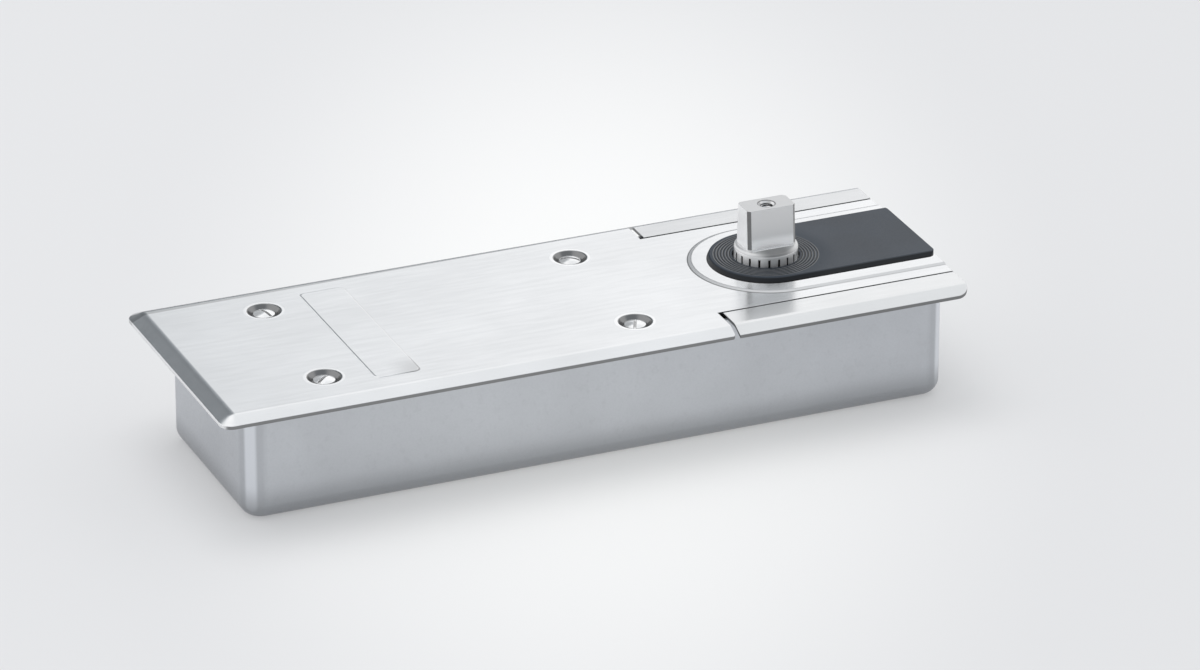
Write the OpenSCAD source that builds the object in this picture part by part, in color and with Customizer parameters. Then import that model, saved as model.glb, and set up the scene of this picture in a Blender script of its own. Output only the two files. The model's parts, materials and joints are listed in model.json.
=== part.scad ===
// Floor spring: a hydraulic door closer that is set into the floor under a door.
// Millimetres. +Z is up, the origin is under the middle of the cover, on the level of the box's base.
// +X runs along the cover towards the spindle, +Y is the far long side.

/* [Cover] */
// length of the whole cover
cover_length = 321.8; // [316:0.2:334]
// how far the cover stands out over the box along its sides
cover_overhang = 12.8; // [12.4:0.1:13]
// height of the cover's top face above the base of the box
cover_top = 52.9; // [52.5:0.1:54]
// thickness of the cover's sheet
sheet = 1.25; // [1.1:0.05:1.4]
// width of the sloping border
border_width = 5.4; // [4.8:0.1:5.8]
// slope of the border in degrees
border_slope = 25.5; // [20:0.5:30]
// outer radius of the bend between the flat top and the border
border_bend = 6; // [3:0.5:7]
// corner radius of the cover in plan
cover_corner = 6; // [4:0.5:7]
// width of the middle tongue round the spindle
tongue_width = 78.2; // [76:0.2:80]
// gap between the tongue and each edge strip
strip_gap = 0.9; // [0.6:0.1:1.4]
// length of the edge strips
strip_length = 102.4; // [95:0.2:108]
// gap between the cover plate's shoulder and each edge strip
notch_gap = 2; // [1:0.1:3]
// height of the raised field round the spindle cover
emboss_rise = 0.6; // [0.3:0.1:1]
// radius of the raised field at its foot
emboss_radius = 32.6; // [32:0.1:33.5]
// offset of the raised field's round end from the spindle's axis
emboss_offset = 0.6; // [0.2:0.1:1.2]
// width of the raised field's sloping border
emboss_slope = 1.6; // [1.2:0.1:2.4]

/* [Cover screws] */
// distance of the outer screw pair from the plain end of the cover
screw_inset = 50.8; // [46:0.2:54]
// spacing of the screw pairs along the cover
screw_pitch = 133; // [130:1:136]
// spacing of the two screws of a pair across the cover
screw_spread = 67.2; // [66.6:0.2:69]
// outer radius of the screw dimple
dimple_radius = 7.2; // [6.6:0.1:8]
// depth of the screw dimple
dimple_depth = 2.7; // [2.2:0.1:3]
// radius of the dimple's flat floor
dimple_floor = 5; // [4.8:0.1:5.4]
// radius of the slotted head
screw_head_radius = 4.4; // [4:0.1:4.7]
// height of the slotted head at its crown
screw_head_height = 2.6; // [2:0.1:2.7]

/* [Box] */
// how far the box stands inside the cover at the plain end
box_inset_plain = 13.5; // [12:0.5:16]
// how far the box stands inside the cover at the spindle end
box_inset_spindle = 4.6; // [4:0.2:8]
// thickness of the box's sheet
box_sheet = 1.5; // [1.2:0.1:1.8]
// outer radius of the box's upright corners
box_corner = 9; // [7:0.5:11]
// outer radius of the box's bottom edge
box_bottom_radius = 6.5; // [4:0.5:7]

/* [Spindle] */
// distance of the spindle's axis from the cut end of the cover
spindle_setback = 65.6; // [64:0.1:67]
// length of the flat head along the cover
head_length = 21.2; // [19:0.2:22]
// thickness of the flat head at its top
head_top_width = 11.1; // [10:0.1:12]
// thickness of the flat head at its foot
head_foot_width = 13.4; // [13:0.1:15]
// height of the flat head above its collar
head_height = 17.1; // [15:0.1:20]
// chamfer of the head's upright edges
head_chamfer = 1.3; // [0.8:0.1:1.8]
// radius of the round collar under the head
collar_radius = 13.1; // [12.6:0.1:13.4]
// how far the collar stands above the spindle cover
collar_rise = 5.3; // [4.8:0.1:6.4]
// rounding of the collar's upper rim
collar_rounding = 1.5; // [0.8:0.1:2]
// number of notches round the collar
notch_count = 20; // [16:1:24]
// width of a collar notch
notch_width = 0.9; // [0.6:0.1:1.2]
// depth of a collar notch
notch_depth = 1; // [0.5:0.1:1.4]
// core radius of the threaded hole in the head, M6
thread_core_radius = 2.5; // [2.4:0.05:2.6]
// radius of the countersunk mouth of the threaded hole
thread_mouth_radius = 3.6; // [3:0.1:4]
// depth of the threaded hole
thread_depth = 15; // [12:0.5:17]

/* [Spindle cover] */
// radius of the spindle cover at its foot
insert_radius = 24.5; // [24.2:0.1:25.5]
// offset of the spindle cover's round end from the spindle's axis
insert_offset = 0.3; // [0:0.1:0.6]
// height of the spindle cover above the raised field
insert_rise = 2.2; // [1.8:0.1:2.6]
// width of its sloping edge
insert_slope = 1; // [0.8:0.1:1.4]
// how far the spindle cover ends before the cut end of the cover
insert_setback = 0.6; // [0.2:0.1:1]
// number of ring grooves round the collar
ring_count = 6; // [4:1:6]
// spacing of the ring grooves
ring_pitch = 1.25; // [1:0.05:1.3]

/* [Closer body] */
// height of the piston's axis above the base of the box
axis_height = 26.5; // [26.5:0.1:26.8]
// half height of the cast body round that axis
body_half_height = 21.5; // [21.3:0.1:21.7]
// half width of the cylinder part
body_half_width = 28.5; // [27:0.5:29]
// outer radius of the head part round the spindle
body_head_radius = 39.5; // [39:0.1:40]
// clearance between the head part and the sides of the box
body_side_gap = 3.4; // [3:0.1:4.2]
// clearance between the cylinder end of the body and the box
body_end_gap = 16.5; // [16:0.5:18]
// radius of the cylinder bore
bore_radius = 17; // [16.8:0.1:17.2]
// radius of the cam chamber
chamber_radius = 29.3; // [29:0.1:30]

/* [Cam and piston] */
// distance of the roller's axis from the spindle's axis with the door shut
roller_distance = 22; // [22:0.1:22.4]
// radius of the cam roller
roller_radius = 8; // [7.6:0.1:8]
// travel of the roller for each degree of opening
cam_rise_per_degree = 0.11; // [0.1:0.005:0.115]
// opening angle that the cam allows to each side
opening_angle = 130; // [120:1:135]
// thickness of the cam
cam_thickness = 11; // [10:0.2:11]
// radius of the spindle in the cam
spindle_radius = 10; // [9.6:0.1:10.2]
// length of the piston's round body
piston_length = 48; // [44:1:50]

/* [Closing spring] */
// radius of the spring wire
spring_wire = 2.4; // [2:0.1:2.6]
// radius of the spring coil at the wire's centre
spring_radius = 12.8; // [12.4:0.1:13]
// number of turns of the spring
spring_turns = 11; // [9:0.5:12]

/* [Valves] */
// distance of the valves from the spindle's axis
valve_setback = 85.3; // [81:0.1:95]
// distance of each oil gallery from the middle plane
gallery_offset = 22; // [21.6:0.1:22.4]
// radius of the oil galleries
gallery_radius = 1.8; // [1.5:0.1:2]

/* [Hidden] */
$fn = 64;
// length by which a cutting shape runs past the face it cuts
past = 1;
// overlap that joins two touching shapes of one solid
touch = 0.001;
// radial running clearance of a turning or sliding fit
running = 0.05;
// clearance between two curved faces that roll past each other
rolling = 0.3;

cover_left = -cover_length / 2;
cover_right = cover_length / 2;
box_half = body_head_radius + body_side_gap + box_sheet;
cover_half = box_half + cover_overhang;
cover_width = 2 * cover_half;
sheet_under = cover_top - sheet;
fold = cover_half - border_width;
bend_tangent = border_bend * tan(border_slope / 2);
corner_reach = border_width + bend_tangent + 0.2;
// the border crosses the bend a little inside its faces, so that the two meet in clean edges
bend_step = 0.01;
bend_lap = 0.2;
bend_overlap = 5;
shoulder_rounding = 1.2;
strip_start = cover_right - strip_length;
plate_shoulder = strip_start - notch_gap;
tongue_half = tongue_width / 2;
strip_inner = tongue_half + strip_gap;
raised_top = cover_top + emboss_rise;
label_x = cover_left + 78.6;
label_size = [18.7, 85.6];
label_depth = 0.18;
label_corner = 2;
label_slope = 0.5;

box_left = cover_left + box_inset_plain;
box_right = cover_right - box_inset_spindle;
box_inner_left = box_left + box_sheet;

screw_xs = [cover_left + screw_inset, cover_left + screw_inset + screw_pitch];
screw_y = screw_spread / 2;
dimple_z = cover_top - dimple_depth;
dimple_under = dimple_z - sheet;
dimple_rim = dimple_radius + 1;
dimple_lip = 0.5;
cover_screw_radius = 2.5;
cover_screw_length = 14;
pillar_radius = 3.5;
pillar_hole = 22;
slot_angles = [38, 112, 65, 150];
slot_width = 1.2;
slot_depth = 1.2;

spindle_x = cover_right - spindle_setback;
valve_position = spindle_x - valve_setback;
insert_x = spindle_x + insert_offset;
emboss_x = spindle_x + emboss_offset;
insert_top = raised_top + insert_rise;
insert_hole = collar_radius + 0.8;
insert_corner = 3;
plate_hole = 22;
skirt_wall = 1.3;
skirt_depth = 1.6;
ring_first = collar_radius + 1.8;
ring_width = 0.6;
ring_depth = 0.35;

body_bottom = axis_height - body_half_height - 0.5;
body_top = axis_height + body_half_height;
body_left = box_inner_left + body_end_gap;
body_edge_radius = 6;
bore_end = spindle_x - 20;

collar_top = insert_top + collar_rise;
head_top = collar_top + head_height;
collar_bottom = sheet_under + 1.1;

mouth_depth = thread_mouth_radius - thread_core_radius;
socket_flat = 14;
socket_depth = 12;
pilot_radius = 5;
pilot_depth = 5;
snap_wire = 0.6;
snap_z = collar_bottom - socket_depth - pilot_depth / 2;

journal_radius = spindle_radius + 1;
journal_chamfer = 0.5;
stub_radius = 7.5;
cam_low = axis_height - cam_thickness / 2;
cam_high = axis_height + cam_thickness / 2;
bearing_low = body_bottom + 3;
bearing_height = 9;
bearing_high = bearing_low + bearing_height;
bearing_mid = bearing_low + bearing_height / 2;
bearing_outer = 16;
ball_radius = 2.4;
ball_pitch = (stub_radius + bearing_outer) / 2;
ball_count = 9;
ball_play = 0.12;
race_gap = 1.55;
cage_half_wall = 0.7;
cage_half_height = 3.3;
chamber_floor = axis_height - 12;
hub_radius = 12.5;
key_size = 4;

lid_depth = 5;
lid_radius = chamber_radius + 7;
lid_low = body_top - lid_depth;
lid_play = 0.2;
spigot_depth = 2.4;
spigot_radius = chamber_radius - 0.1;
bush_radius = journal_radius + 3;
bush_low = cam_high + 2.5;
bush_high = body_top - 1;
boss_radius = 20;
boss_top = body_top + 3.2;
seal_radius = 16.5;
lid_screw_circle = chamber_radius + 3.7;
lid_screw_radius = 2;
lid_screw_head = 3.5;
lid_screw_head_height = 2.5;
lid_screw_end = lid_low - 5.5;
lid_seal_wire = 0.9;

lift = cam_rise_per_degree * opening_angle;
rise_per_radian = cam_rise_per_degree * 180 / PI;
roller_x = spindle_x - roller_distance;
roller_gap = 0.2;
fork_inner = cam_thickness / 2 + 0.6;
fork_outer = fork_inner + 5.4;
fork_half_width = 9;
fork_tip = roller_x + 4.7;
flank_step = 5;
flank_last = flank_point(opening_angle, 1);
nose_radius = norm(flank_last);
nose_angle = atan2(flank_last[1], flank_last[0]);
rest_low = roller_distance - roller_radius - rolling;
piston_front = roller_x - roller_radius - lift / 2 - 1.2;
piston_back = piston_front - piston_length;
piston_radius = bore_radius - running;
pin_radius = 3;
pocket_radius = spring_radius + spring_wire + 0.6;
pocket_depth = 20;
spring_face = piston_back + pocket_depth;
ring_seat = piston_front - 16;
ring_length = 3;
ring_wall = 2;

check_drill = 2.2;
check_ball_radius = 3;
check_chamber = 3.6;
check_seat = spring_face + 6;
check_ball_x = check_seat + sqrt(pow(check_ball_radius, 2) - pow(check_drill, 2)) + 0.06;
check_pin_radius = 1;
check_lift = 2;
check_pin_x = check_ball_x + check_ball_radius + check_lift + check_pin_radius + 0.1;
check_pin_half = 8;

cap_length = 14;
cap_radius = bore_radius + 2;
cap_face = body_left + cap_length;
seat_thickness = 3;
seat_boss = 5;
spring_start = cap_face + seat_thickness;
seat_play = 0.6;
wire_sides = 6;
rings_per_turn = 8;
spring_steps = rings_per_turn * spring_turns;
closed_turns = 0.75;
closed_pitch = 2 * spring_wire + 0.5;
closed_rise = closed_turns * closed_pitch;
open_turns = spring_turns - 2 * closed_turns;
spring_low = spring_start + spring_wire + running;
spring_high = spring_face - spring_wire - running;
open_rise = spring_high - spring_low - 2 * closed_rise;
seat_boss_radius = spring_radius * cos(180 / rings_per_turn) - spring_wire - seat_play;
cap_seal_wire = 0.9;
groove_play = 0.1;
seal_play = 0.04;
cap_seal_setback = 4;
cap_socket = 14;
cap_socket_depth = 7;

gallery_z = axis_height + 13;
gallery_end = spindle_x - 16;
port_xs = [body_left + 28, spindle_x - 126.7];
valve_head_radius = 4;
valve_stem_radius = 2.5;
valve_shoulder = gallery_z + 3;
valve_top = body_top - 0.6;
valve_low = gallery_z - 4;
valve_groove = 1.4;
valve_seal_wire = 0.65;
plug_radius = 3;
plug_length = 4.5;
fill_x = body_left + 62;

ear_xs = [body_left + 33, spindle_x - 49.7];
ear_y = body_half_width + 5.3;
ear_radius = 5.5;
ear_top = body_bottom + 9;
stud_radius = 3;
lug_low = box_sheet + 6;
lug_high = lug_low + 6;
lug_half = 11;
lug_reach = 12.5;
lug_centres = [body_left - 6.5, spindle_x + body_head_radius + 6.5];
nut_height = 5;
nut_radius = 5.77;
washer_thickness = 1.2;
washer_radius = 6;
hex_head_height = 4;
hex_head_flats = 10;

bracket_xs = [strip_start + 18, cover_right - 20];
bracket_length = 12;
bracket_sheet = 1.2;
bracket_drop = 6.5;

// Basic forms

module ring(outer, inner, low, high) {
  difference() {
    translate([0, 0, low]) cylinder(r = outer, h = high - low);
    translate([0, 0, low - past]) cylinder(r = inner, h = high - low + 2 * past);
  }
}

module along_x(x) {
  translate([x, 0, axis_height]) rotate([0, 90, 0]) children();
}

// Quarter-rounded block in profile: the corner at [reach, top] is rounded by bend.
module rounded_top_2d(reach, low, top, bend) {
  translate([0, low]) square([reach - bend, top - low]);
  translate([reach - bend - 0.01, low]) square([bend + 0.01, top - bend - low]);
  intersection() {
    translate([reach - bend, top - bend]) circle(bend);
    translate([reach - bend - 0.01, top - bend - 0.01]) square(bend + 0.02);
  }
}

// Flat sheet, bend and sloping border; the sheet runs on past the cover's outline.
module border_profile() {
  rim = corner_reach + past;
  flat = corner_reach - border_width - bend_tangent;
  slant = (rim - flat) / cos(border_slope);
  translate([0, sheet_under]) square([flat, sheet]);
  translate([flat, cover_top - border_bend]) {
    intersection() {
      difference() {
        circle(border_bend);
        circle(border_bend - sheet);
      }
      polygon([
        [0, 0], [0, 2 * border_bend],
        [2 * border_bend * tan(border_slope + bend_overlap), 2 * border_bend]
      ]);
    }
    rotate(-border_slope) translate([-bend_lap, border_bend - sheet + bend_step])
      square([slant + bend_lap, sheet - 2 * bend_step]);
  }
}

// Upright wall of the drawn box with its rounded foot.
module wall_profile() {
  difference() {
    rounded_foot_2d(box_corner, 0, sheet_under, box_bottom_radius);
    rounded_foot_2d(box_corner - box_sheet, box_sheet, sheet_under + past, box_bottom_radius - box_sheet);
  }
}

module rounded_foot_2d(reach, low, top, bend) {
  mirror([0, 1]) rounded_top_2d(reach, -top, -low, bend);
}

// Straight run of a profile along the cover, facing +Y.
module run_x(x0, x1, y) {
  translate([x0, y, 0]) rotate([90, 0, 90]) linear_extrude(height = x1 - x0) children();
}

// Straight run of a profile across the cover, facing +X.
module run_y(x, half) {
  translate([x, half, 0]) rotate([90, 0, 0]) linear_extrude(height = 2 * half) children();
}

module corner_turn(x, y, start) {
  translate([x, y, 0]) rotate([0, 0, start]) rotate_extrude(angle = 90) children();
}

// Box and cover

module cement_box() {
  inner_half = box_half - box_corner;
  left = box_left + box_corner;
  right = box_right - box_corner;
  color("silver") union() {
    translate([left, -inner_half, 0]) cube([right - left, 2 * inner_half, box_sheet]);
    for (side = [0, 1]) {
      mirror([0, side, 0]) run_x(left, right, inner_half) wall_profile();
      mirror([0, side, 0]) corner_turn(right, inner_half, 0) wall_profile();
      mirror([0, side, 0]) corner_turn(left, inner_half, 90) wall_profile();
    }
    run_y(right, inner_half) wall_profile();
    translate([left, 0, 0]) mirror([1, 0, 0]) run_y(0, inner_half) wall_profile();
  }
}

// The pressed sheet that the cover plate and both edge strips are cut from.
module pressed_sheet() {
  inner_half = cover_half - corner_reach;
  left = cover_left + corner_reach;
  right = cover_right + past;
  translate([left, -inner_half, sheet_under]) cube([right - left, 2 * inner_half, sheet]);
  for (side = [0, 1]) {
    mirror([0, side, 0]) run_x(left, right, inner_half) border_profile();
    mirror([0, side, 0]) corner_turn(left, inner_half, 90) border_profile();
  }
  translate([left, 0, 0]) mirror([1, 0, 0]) run_y(0, inner_half) border_profile();
}

// Cuts a convex corner round; the corner lies at [x, y] and points along [sx, sy].
module round_off_2d(x, y, sx, sy, radius) {
  translate([x - sx * radius, y - sy * radius]) difference() {
    translate([sx > 0 ? 0 : -radius - past, sy > 0 ? 0 : -radius - past]) square(radius + past);
    circle(radius);
  }
}

module plate_outline_2d() {
  difference() {
    translate([cover_left, -cover_half]) square([plate_shoulder - cover_left, cover_width]);
    for (s = [-1, 1]) {
      round_off_2d(cover_left, s * cover_half, -1, s, cover_corner);
      round_off_2d(plate_shoulder, s * cover_half, 1, s, shoulder_rounding);
    }
  }
  translate([plate_shoulder, -tongue_half]) square([cover_right - plate_shoulder, tongue_width]);
}

// Raised field with a sloping border, open towards the cut end of the cover.
module raised_field(low, rise, top_radius, slope) {
  translate([emboss_x, 0, low]) cylinder(r1 = top_radius + slope, r2 = top_radius, h = rise);
  translate([emboss_x, 0, low]) rotate([90, 0, 90]) linear_extrude(height = cover_right - emboss_x)
    polygon([
      [-top_radius - slope, 0], [top_radius + slope, 0], [top_radius, rise], [-top_radius, rise]
    ]);
}

module dimple() {
  rotate_extrude() polygon([
    [cover_screw_radius + 0.3, dimple_under], [dimple_floor - 0.6, dimple_under],
    [dimple_radius - 0.9, sheet_under - 0.3], [dimple_rim, sheet_under], [dimple_rim, cover_top],
    [dimple_radius, cover_top], [dimple_radius - dimple_lip, cover_top - dimple_lip / 3],
    [dimple_radius - 1.4 * dimple_lip, cover_top - dimple_lip],
    [dimple_floor, dimple_z], [cover_screw_radius + 0.3, dimple_z]
  ]);
}

// Half section of the label field's sloping wall, cut a little past the face.
module label_wall(reach) {
  lap = label_depth / 2;
  spread = label_slope * (1 + lap / label_depth);
  polygon([
    [0, cover_top - label_depth], [reach - label_slope, cover_top - label_depth],
    [reach - label_slope + spread, cover_top + lap], [0, cover_top + lap]
  ]);
}

// Shallow field with round corners that a label would fill.
module label_field() {
  half_x = label_size[0] / 2 - label_corner;
  half_y = label_size[1] / 2 - label_corner;
  translate([label_x, 0, 0]) {
    for (side = [0, 1]) {
      mirror([0, side, 0]) run_x(-half_x, half_x, half_y) label_wall(label_corner);
      mirror([0, side, 0]) corner_turn(half_x, half_y, 0) label_wall(label_corner);
      mirror([0, side, 0]) corner_turn(-half_x, half_y, 90) label_wall(label_corner);
      mirror([side, 0, 0]) run_y(half_x, half_y) label_wall(label_corner);
    }
    translate([-half_x - touch, -half_y - touch, cover_top - label_depth])
      cube([2 * (half_x + touch), 2 * (half_y + touch), 1.5 * label_depth]);
  }
}

module cover_plate() {
  core = emboss_radius - emboss_slope;
  color("gainsboro") {
    difference() {
      union() {
        intersection() {
          pressed_sheet();
          linear_extrude(height = cover_top + past) plate_outline_2d();
        }
        raised_field(cover_top, emboss_rise, core, emboss_slope);
      }
      translate([0, 0, -touch]) raised_field(sheet_under, emboss_rise, core - sheet, emboss_slope);
      translate([spindle_x, 0, 0]) cylinder(r = plate_hole, h = raised_top + past);
      for (x = screw_xs, s = [-1, 1])
        translate([x, s * screw_y, 0]) cylinder(r = dimple_rim, h = cover_top + past);
      label_field();
    }
    for (x = screw_xs, s = [-1, 1]) translate([x, s * screw_y, 0]) dimple();
  }
}

module rear_edge_strip() {
  color("gainsboro") difference() {
    intersection() {
      pressed_sheet();
      translate([strip_start, strip_inner, 0])
        cube([strip_length, cover_half - strip_inner, cover_top + past]);
    }
    linear_extrude(height = cover_top + past)
      round_off_2d(cover_right, cover_half, 1, 1, cover_corner);
  }
}

module front_edge_strip() {
  mirror([0, 1, 0]) rear_edge_strip();
}

module strip_brackets() {
  reach = fold - bend_tangent - box_half - 0.2;
  color("silver") for (x = bracket_xs, side = [0, 1]) mirror([0, side, 0])
    translate([x, box_half, 0]) {
      translate([0, 0, sheet_under - bracket_drop]) cube([bracket_length, bracket_sheet, bracket_drop]);
      translate([0, 0, sheet_under - bracket_sheet]) cube([bracket_length, reach, bracket_sheet]);
    }
}

module cover_pillars() {
  color("silver") for (x = screw_xs, s = [-1, 1]) translate([x, s * screw_y, 0]) difference() {
    translate([0, 0, box_sheet]) cylinder(r = pillar_radius, h = dimple_under - box_sheet);
    translate([0, 0, dimple_under - pillar_hole])
      cylinder(r = cover_screw_radius, h = pillar_hole + past);
  }
}

module slotted_screw(slot_angle) {
  crown = screw_head_radius * 2.2;
  difference() {
    union() {
      translate([0, 0, dimple_z - cover_screw_length])
        cylinder(r = cover_screw_radius, h = cover_screw_length);
      intersection() {
        translate([0, 0, dimple_z]) cylinder(r = screw_head_radius, h = screw_head_height);
        translate([0, 0, dimple_z + screw_head_height - crown]) sphere(r = crown);
      }
    }
    rotate([0, 0, slot_angle]) translate([0, 0, dimple_z + screw_head_height])
      cube([3 * screw_head_radius, slot_width, 2 * slot_depth], center = true);
  }
}

module cover_screws() {
  color("silver") for (i = [0, 1], j = [0, 1])
    translate([screw_xs[i], (2 * j - 1) * screw_y, 0]) slotted_screw(slot_angles[2 * i + j]);
}

// Spindle cover

// Half section of its sloping edge, with the outline's reach at the foot.
module insert_profile(reach) {
  polygon([
    [0, raised_top], [reach, raised_top], [reach - 0.15, raised_top + 0.5],
    [reach - insert_slope + 0.2, insert_top - 0.25], [reach - insert_slope - 0.4, insert_top],
    [0, insert_top]
  ]);
}

module spindle_cover() {
  tip = cover_right - insert_setback - insert_x;
  color("dimgray") difference() {
    union() {
      translate([insert_x, 0, 0]) rotate([0, 0, 90]) rotate_extrude(angle = 180)
        insert_profile(insert_radius);
      for (side = [0, 1]) mirror([0, side, 0]) run_x(insert_x, insert_x + tip, 0)
        insert_profile(insert_radius);
      translate([spindle_x, 0, 0])
        ring(plate_hole - 0.1, plate_hole - skirt_wall, raised_top - skirt_depth, raised_top + 0.2);
    }
    translate([spindle_x, 0, 0]) cylinder(r = insert_hole, h = insert_top + past);
    for (k = [0 : ring_count - 1]) translate([spindle_x, 0, insert_top]) rotate_extrude()
      polygon([
        [ring_first + k * ring_pitch - ring_width / 2, past / 10],
        [ring_first + k * ring_pitch + ring_width / 2, past / 10],
        [ring_first + k * ring_pitch, -ring_depth]
      ]);
    for (side = [0, 1]) mirror([0, side, 0])
      translate([insert_x + tip - insert_corner, insert_radius - insert_corner, raised_top - past])
        linear_extrude(height = insert_rise + 2 * past) difference() {
          square(insert_corner + past);
          circle(insert_corner);
        }
  }
}

// Closer body

module body_section_2d() {
  flat_y = body_half_width - body_edge_radius;
  height = body_top - body_bottom;
  translate([-body_half_width, body_edge_radius])
    square([2 * body_half_width, height - 2 * body_edge_radius]);
  translate([-flat_y, 0]) square([2 * flat_y, height]);
  for (s = [-1, 1], z = [body_edge_radius, height - body_edge_radius])
    translate([s * flat_y, z]) circle(body_edge_radius);
}

module body_casting() {
  translate([body_left, 0, body_bottom]) rotate([90, 0, 90])
    linear_extrude(height = spindle_x - body_left) body_section_2d();
  translate([spindle_x, 0, body_bottom]) cylinder(r = body_head_radius, h = body_top - body_bottom);
  for (x = ear_xs, s = [-1, 1]) {
    translate([x, s * ear_y, body_bottom]) cylinder(r = ear_radius, h = ear_top - body_bottom);
    translate([x - ear_radius, s > 0 ? 0 : -ear_y, body_bottom])
      cube([2 * ear_radius, ear_y, ear_top - body_bottom]);
  }
  translate([body_left - lug_reach, -lug_half, lug_low])
    cube([lug_reach + body_edge_radius, 2 * lug_half, lug_high - lug_low]);
  translate([spindle_x + body_head_radius - body_edge_radius, -lug_half, lug_low])
    cube([lug_reach + body_edge_radius, 2 * lug_half, lug_high - lug_low]);
}

module valve_bore() {
  translate([0, 0, valve_shoulder]) cylinder(r = valve_head_radius, h = body_top - valve_shoulder + past);
  translate([0, 0, valve_low]) cylinder(r = valve_stem_radius, h = valve_shoulder - valve_low + past);
}

module closer_body() {
  color("slategray") difference() {
    body_casting();
    along_x(body_left - past) cylinder(r = bore_radius, h = bore_end - body_left + past);
    along_x(body_left - past) cylinder(r = cap_radius, h = cap_length + past);
    translate([spindle_x, 0, 0]) {
      translate([0, 0, chamber_floor]) cylinder(r = chamber_radius, h = body_top);
      translate([0, 0, lid_low]) cylinder(r = lid_radius + lid_play, h = body_top);
      translate([0, 0, bearing_low]) cylinder(r = bearing_outer, h = body_top);
      translate([0, 0, bearing_low - 0.6]) cylinder(r = ball_pitch, h = body_top);
      for (k = [0 : 5]) rotate([0, 0, 30 + 60 * k]) translate([lid_screw_circle, 0, lid_screw_end])
        cylinder(r = lid_screw_radius, h = body_top);
    }
    for (i = [0, 1]) mirror([0, i, 0]) {
      translate([body_left - past, gallery_offset, gallery_z]) rotate([0, 90, 0])
        cylinder(r = gallery_radius, h = gallery_end - body_left + past);
      translate([body_left - past, gallery_offset, gallery_z]) rotate([0, 90, 0])
        cylinder(r = plug_radius, h = plug_length + past);
      translate([port_xs[i], body_half_width + past, gallery_z]) rotate([90, 0, 0])
        cylinder(r = gallery_radius, h = body_half_width - bore_radius / 2);
      translate([port_xs[i], body_half_width + past, gallery_z]) rotate([90, 0, 0])
        cylinder(r = plug_radius, h = plug_length + past - 0.5);
      translate([valve_position, gallery_offset, 0]) valve_bore();
    }
    translate([fill_x, 0, axis_height]) cylinder(r = plug_radius, h = body_top);
    for (x = ear_xs, s = [-1, 1])
      translate([x, s * ear_y, 0]) cylinder(r = stud_radius, h = ear_top + past);
    for (x = lug_centres) for (dx = [-1.5, 1.5])
      translate([x + dx, 0, lug_low - past]) cylinder(r = stud_radius + 0.4, h = lug_high);
    for (x = lug_centres)
      translate([x - 1.5, -stud_radius - 0.4, lug_low - past]) cube([3, 2 * stud_radius + 0.8, lug_high]);
  }
}

module bearing_lid() {
  color("silver") translate([spindle_x, 0, 0]) difference() {
    union() {
      translate([0, 0, lid_low]) cylinder(r = lid_radius, h = lid_depth);
      translate([0, 0, lid_low - spigot_depth]) cylinder(r = spigot_radius, h = spigot_depth + past / 2);
      translate([0, 0, bush_low]) cylinder(r = bush_radius + 2, h = lid_low - bush_low + past);
      translate([0, 0, lid_low]) cylinder(r = boss_radius, h = boss_top - lid_low);
    }
    translate([0, 0, bush_low - past]) cylinder(r = bush_radius, h = boss_top);
    translate([0, 0, bush_high]) cylinder(r = seal_radius, h = boss_top);
    for (k = [0 : 5]) rotate([0, 0, 30 + 60 * k]) translate([lid_screw_circle, 0, 0]) {
      translate([0, 0, lid_low - past]) cylinder(r = lid_screw_radius + 0.15, h = body_top);
      translate([0, 0, body_top - lid_screw_head_height]) cylinder(r = lid_screw_head + 0.3, h = body_top);
    }
    translate([0, 0, lid_low - spigot_depth / 2])
      ring(chamber_radius + past, spigot_radius - 2 * lid_seal_wire,
        -lid_seal_wire - groove_play, lid_seal_wire + groove_play);
  }
}

module bearing_lid_screws() {
  color("dimgray") for (k = [0 : 5]) translate([spindle_x, 0, 0]) rotate([0, 0, 30 + 60 * k])
    translate([lid_screw_circle, 0, 0]) difference() {
      union() {
        translate([0, 0, lid_screw_end + 0.5])
          cylinder(r = lid_screw_radius, h = body_top - lid_screw_end - 0.5 - past / 2);
        translate([0, 0, body_top - lid_screw_head_height])
          cylinder(r = lid_screw_head, h = lid_screw_head_height);
      }
      translate([0, 0, body_top - 1.5]) cylinder(r = 1.7, h = past + 1, $fn = 6);
    }
}

module torus(centre_radius, wire) {
  rotate_extrude() translate([centre_radius, 0]) circle(wire, $fn = 32);
}

module bearing_lid_seal() {
  color("dimgray") translate([spindle_x, 0, lid_low - spigot_depth / 2])
    torus(chamber_radius - lid_seal_wire - seal_play, lid_seal_wire);
}

module upper_bushing() {
  color("goldenrod") translate([spindle_x, 0, 0])
    ring(bush_radius, journal_radius + running, bush_low, bush_high);
}

module spindle_seal() {
  wall = 1.4;
  high = bush_high + 3.4;
  color("dimgray") translate([spindle_x, 0, 0]) rotate_extrude() polygon([
    [seal_radius, bush_high], [seal_radius, high], [journal_radius + 0.9, high],
    [journal_radius + running, high - wall], [journal_radius + 0.7, bush_high + 0.5],
    [journal_radius + wall, bush_high + 0.5], [journal_radius + 1.7, high - wall],
    [seal_radius - wall, high - wall], [seal_radius - wall, bush_high]
  ]);
}

// Spindle

module hexagon(across_flats, height) {
  cylinder(r = across_flats / sqrt(3), h = height, $fn = 6);
}

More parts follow.
